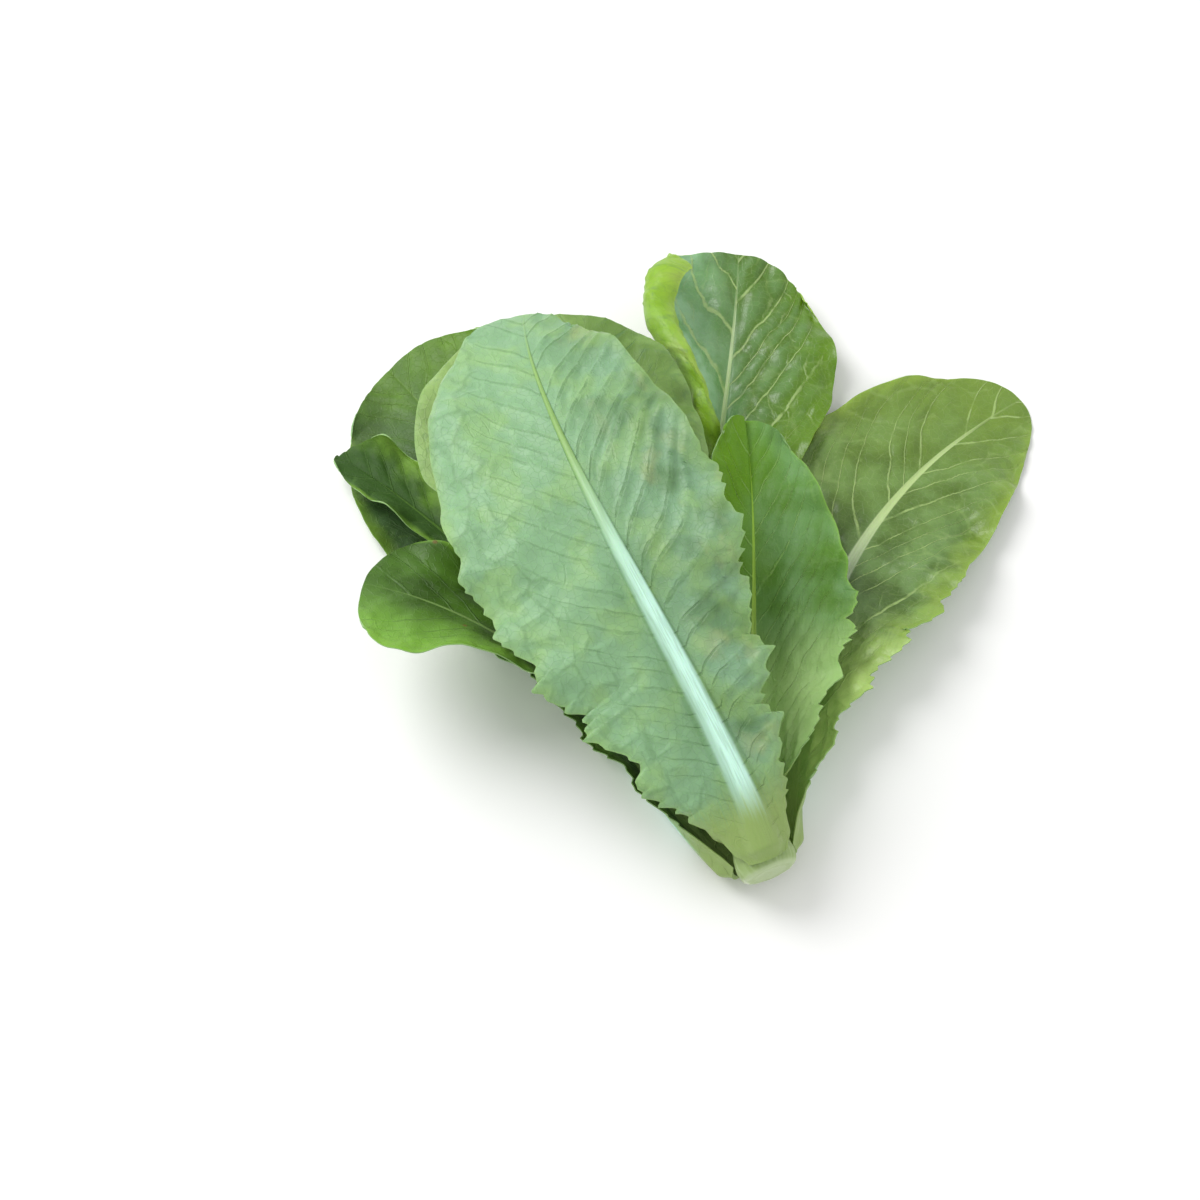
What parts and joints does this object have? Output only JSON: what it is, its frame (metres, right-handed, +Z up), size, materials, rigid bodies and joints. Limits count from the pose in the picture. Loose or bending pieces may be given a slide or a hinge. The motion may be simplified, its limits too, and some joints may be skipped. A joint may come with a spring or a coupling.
{
  "type": "cos lettuce head",
  "caption": "Young cos lettuce head cut at the foot and laid down, its toothed, veined leaves fanned from a short stem.",
  "frame": {"origin": "middle of the head's outline on the surface that it lies on", "axes": "+Z up from the surface, +Y from the cut foot towards the leaf tips, +X to the right seen from the foot"},
  "size_m": [0.26, 0.254, 0.0735],
  "materials": {
    "stem": "moist cut, whitish green",
    "leaf_front": "pale under face, satin",
    "leaf_under": "under face in shade, satin",
    "leaf_inner": "fresh green upper face, satin",
    "leaf_right": "olive green upper face, satin",
    "leaf_top": "green upper face, satin",
    "leaf_left": "dark green upper face, satin",
    "leaf_curly": "very dark green upper face, glossy",
    "leaf_round": "dark green upper face, satin",
    "heart_top": "pale yellow-green, satin",
    "heart_right": "pale yellow-green, satin"
  },
  "bodies": {
    "root": {"stem": "stem", "leaf_front": "leaf_front", "leaf_under": "leaf_under", "leaf_inner": "leaf_inner", "leaf_right": "leaf_right", "leaf_top": "leaf_top", "leaf_left": "leaf_left", "leaf_curly": "leaf_curly", "leaf_round": "leaf_round", "heart_top": "heart_top", "heart_right": "heart_right"}
  },
  "joints": []
}
